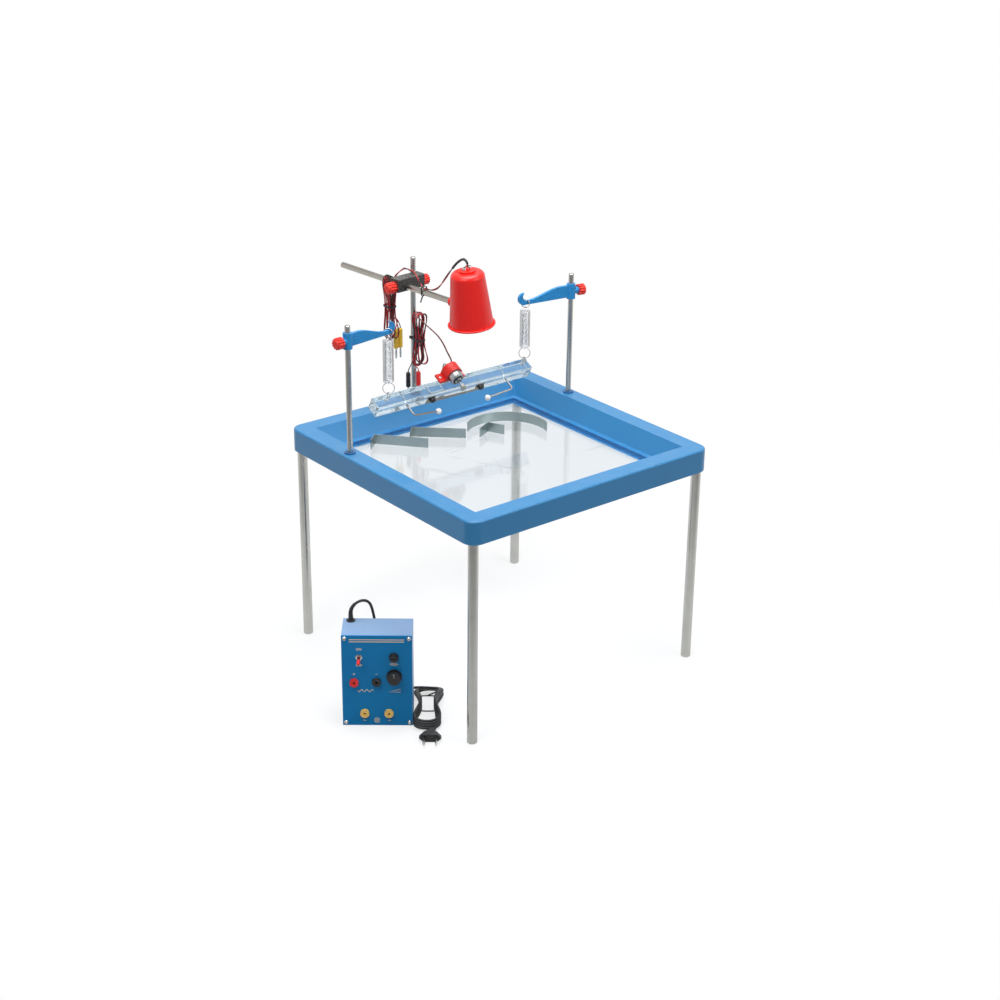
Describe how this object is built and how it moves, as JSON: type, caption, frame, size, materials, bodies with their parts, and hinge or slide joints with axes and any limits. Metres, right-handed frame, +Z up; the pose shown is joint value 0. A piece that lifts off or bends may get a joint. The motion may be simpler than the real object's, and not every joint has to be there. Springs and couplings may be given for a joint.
{
  "type": "ripple tank",
  "caption": "Glass-bottomed water tray on legs with a spring-hung motor bar and dippers, a lamp on a post, wave barriers and a low-voltage supply.",
  "frame": {"origin": "on the floor, at the middle of the tray's footprint", "axes": "+Z up, +Y towards the lamp post, +X to the right when looking along +Y"},
  "size_m": [0.6042, 0.6167, 0.656],
  "materials": {
    "tray_blue": "satin moulded",
    "collar_blue": "satin",
    "seal_rubber": "matt",
    "clear_glass": "polished",
    "steel_rod": "drawn, satin",
    "case_paint": "fine satin",
    "panel_paint": "fine satin",
    "plated_steel": "bright plated",
    "core_iron": "varnished laminations",
    "black_plastic": "moulded",
    "dial_black": "moulded",
    "socket_red": "moulded",
    "socket_black": "moulded",
    "socket_yellow": "moulded",
    "cable_black": "matt",
    "cable_red": "matt",
    "barrier_grey": "satin",
    "arm_blue": "satin",
    "knob_red": "moulded",
    "spring_steel": "plated wire",
    "clear_acrylic": "polished",
    "strip_metal": "satin",
    "saddle_red": "gloss",
    "can_steel": "plated",
    "weight_brass": "turned, dull",
    "ball_white": "moulded",
    "boss_black": "black enamel",
    "shade_red": "gloss enamel",
    "bulb_glass": "clear",
    "plug_yellow": "moulded"
  },
  "bodies": {
    "tank": {"tray": "tray_blue", "glass_seal": "seal_rubber", "glass_pane": "clear_glass", "legs": "steel_rod", "left_hook_post": "steel_rod", "right_hook_post": "steel_rod", "post_collars": "collar_blue"},
    "arms": {"left_arm": "arm_blue", "right_arm": "arm_blue", "upper_rings": "plated_steel"},
    "left_arm_knob": {"left_arm_knob": "knob_red"},
    "right_arm_knob": {"right_arm_knob": "knob_red"},
    "suspension": {"left_spring": "spring_steel", "right_spring": "spring_steel"},
    "bar": {"beam": "clear_acrylic", "beam_eyes": "plated_steel", "clamp_strip": "strip_metal", "motor_saddle": "saddle_red", "motor_can": "can_steel", "motor_lead": "cable_black"},
    "eccentric": {"motor_eccentric": "weight_brass"},
    "left_dipper": {"left_dipper": "plated_steel", "left_dipper_ball": "ball_white"},
    "right_dipper": {"right_dipper": "plated_steel", "right_dipper_ball": "ball_white"},
    "left_clamp_knob": {"left_clamp_knob": "black_plastic"},
    "right_clamp_knob": {"right_clamp_knob": "black_plastic"},
    "long_barrier_left": {"long_barrier_left": "barrier_grey"},
    "long_barrier_right": {"long_barrier_right": "barrier_grey"},
    "curved_barrier": {"curved_barrier": "barrier_grey"},
    "corner_barrier": {"corner_barrier": "barrier_grey"},
    "post": {"lamp_post": "steel_rod", "motor_hank": "cable_red", "motor_plugs": "black_plastic"},
    "boss": {"boss_head": "boss_black"},
    "boss_post_knob": {"boss_post_knob": "knob_red"},
    "boss_rod_knob": {"boss_rod_knob": "knob_red"},
    "rod": {"lamp_rod": "steel_rod", "lamp_hank": "cable_red", "yellow_plugs": "plug_yellow"},
    "shade": {"lamp_shade": "shade_red", "lamp_holder": "black_plastic", "lamp_bulb": "bulb_glass", "lamp_lead": "cable_red"},
    "supply": {"supply_case": "case_paint", "supply_panel": "panel_paint", "panel_screws": "plated_steel", "transformer": "core_iron", "switch_body": "black_plastic", "fuse_holder": "black_plastic", "socket_red": "socket_red", "socket_black": "socket_black", "sockets_yellow": "socket_yellow", "mains_gland": "black_plastic", "mains_lead": "cable_black", "mains_hank": "cable_black", "mains_plug": "black_plastic"},
    "toggle": {"toggle_lever": "plated_steel"},
    "fuse_cap": {"fuse_cap": "black_plastic"},
    "dial": {"control_knob": "dial_black"}
  },
  "joints": [
    {"name": "arms_slide", "type": "slide", "parent": "tank", "child": "arms", "axis": [0, 0, -1], "range_m": [-0.008, 0.038]},
    {"name": "left_arm_knob_turn", "type": "hinge", "parent": "arms", "child": "left_arm_knob", "pos_m": [-0.225, 0.088, 0.5595], "axis": [-0.9854, -0.1702, 0], "range_deg": [0, 360]},
    {"name": "right_arm_knob_turn", "type": "hinge", "parent": "arms", "child": "right_arm_knob", "pos_m": [0.225, 0.088, 0.554], "axis": [0.9854, -0.1702, 0], "range_deg": [0, 360]},
    {"name": "bar_swing", "type": "hinge", "parent": "arms", "child": "suspension", "pos_m": [0, 0.10286, 0.543], "axis": [1, 0, 0], "range_deg": [-10, 10], "stiffness_Nm_per_rad": 0.12},
    {"name": "bar_bob", "type": "slide", "parent": "suspension", "child": "bar", "axis": [0, 0, 1], "range_m": [-0.02, 0.015], "stiffness_N_per_m": 135, "deforming": ["left_spring", "right_spring"]},
    {"name": "motor_spin", "type": "hinge", "parent": "bar", "child": "eccentric", "pos_m": [-0.005, 0.10286, 0.4475], "axis": [0, -0.8746, -0.4848], "continuous": true},
    {"name": "left_dipper_turn", "type": "hinge", "parent": "bar", "child": "left_dipper", "pos_m": [-0.103, 0.11416, 0.42712], "axis": [0, -0.8746, -0.4848], "range_deg": [-20, 70]},
    {"name": "right_dipper_turn", "type": "hinge", "parent": "bar", "child": "right_dipper", "pos_m": [0.099, 0.11416, 0.42712], "axis": [0, 0.8746, 0.4848], "range_deg": [-20, 70]},
    {"name": "left_clamp_knob_turn", "type": "hinge", "parent": "bar", "child": "left_clamp_knob", "pos_m": [-0.0535, 0.10454, 0.42179], "axis": [0, -0.8746, -0.4848], "range_deg": [0, 360]},
    {"name": "right_clamp_knob_turn", "type": "hinge", "parent": "bar", "child": "right_clamp_knob", "pos_m": [0.0455, 0.10454, 0.42179], "axis": [0, -0.8746, -0.4848], "range_deg": [0, 360]},
    {"name": "long_barrier_left_lift", "type": "slide", "parent": "tank", "child": "long_barrier_left", "axis": [0, 0, -1], "range_m": [-0.03, 0]},
    {"name": "long_barrier_right_lift", "type": "slide", "parent": "tank", "child": "long_barrier_right", "axis": [0, 0, -1], "range_m": [-0.03, 0]},
    {"name": "curved_barrier_lift", "type": "slide", "parent": "tank", "child": "curved_barrier", "axis": [0, 0, -1], "range_m": [-0.03, 0]},
    {"name": "corner_barrier_lift", "type": "slide", "parent": "tank", "child": "corner_barrier", "axis": [0, 0, -1], "range_m": [-0.022, 0]},
    {"name": "lamp_post_turn", "type": "hinge", "parent": "tank", "child": "post", "pos_m": [0, 0.225, 0.36], "axis": [0, 0, 1], "range_deg": [-20, 20]},
    {"name": "boss_slide", "type": "slide", "parent": "post", "child": "boss", "axis": [0, 0, 1], "range_m": [-0.03, 0.025]},
    {"name": "boss_post_knob_turn", "type": "hinge", "parent": "boss", "child": "boss_post_knob", "pos_m": [0, 0.225, 0.5765], "axis": [0.9959, 0.0906, 0], "range_deg": [0, 360]},
    {"name": "boss_rod_knob_turn", "type": "hinge", "parent": "boss", "child": "boss_rod_knob", "pos_m": [0, 0.225, 0.5765], "axis": [-0.9959, -0.0906, 0], "range_deg": [0, 360]},
    {"name": "rod_slide", "type": "slide", "parent": "boss", "child": "rod", "axis": [0.0906, -0.9959, 0], "range_m": [-0.025, 0.006]},
    {"name": "shade_turn", "type": "hinge", "parent": "rod", "child": "shade", "pos_m": [-0.02241, 0.22296, 0.5765], "axis": [0.0906, -0.9959, 0], "range_deg": [-40, 40]},
    {"name": "supply_lift", "type": "slide", "parent": "tank", "child": "supply", "axis": [0, 0, 1], "range_m": [0, 0.05]},
    {"name": "toggle_flip", "type": "hinge", "parent": "supply", "child": "toggle", "pos_m": [-0.33141, -0.07977, 0.1196], "axis": [0.7837, -0.6211, 0], "range_deg": [-24, 0]},
    {"name": "fuse_cap_turn", "type": "hinge", "parent": "supply", "child": "fuse_cap", "pos_m": [-0.28964, -0.11288, 0.1198], "axis": [-0.6211, -0.7837, 0], "range_deg": [0, 90]},
    {"name": "dial_turn", "type": "hinge", "parent": "supply", "child": "dial", "pos_m": [-0.2894, -0.11306, 0.087], "axis": [-0.6211, -0.7837, 0], "range_deg": [-135, 135]}
  ]
}
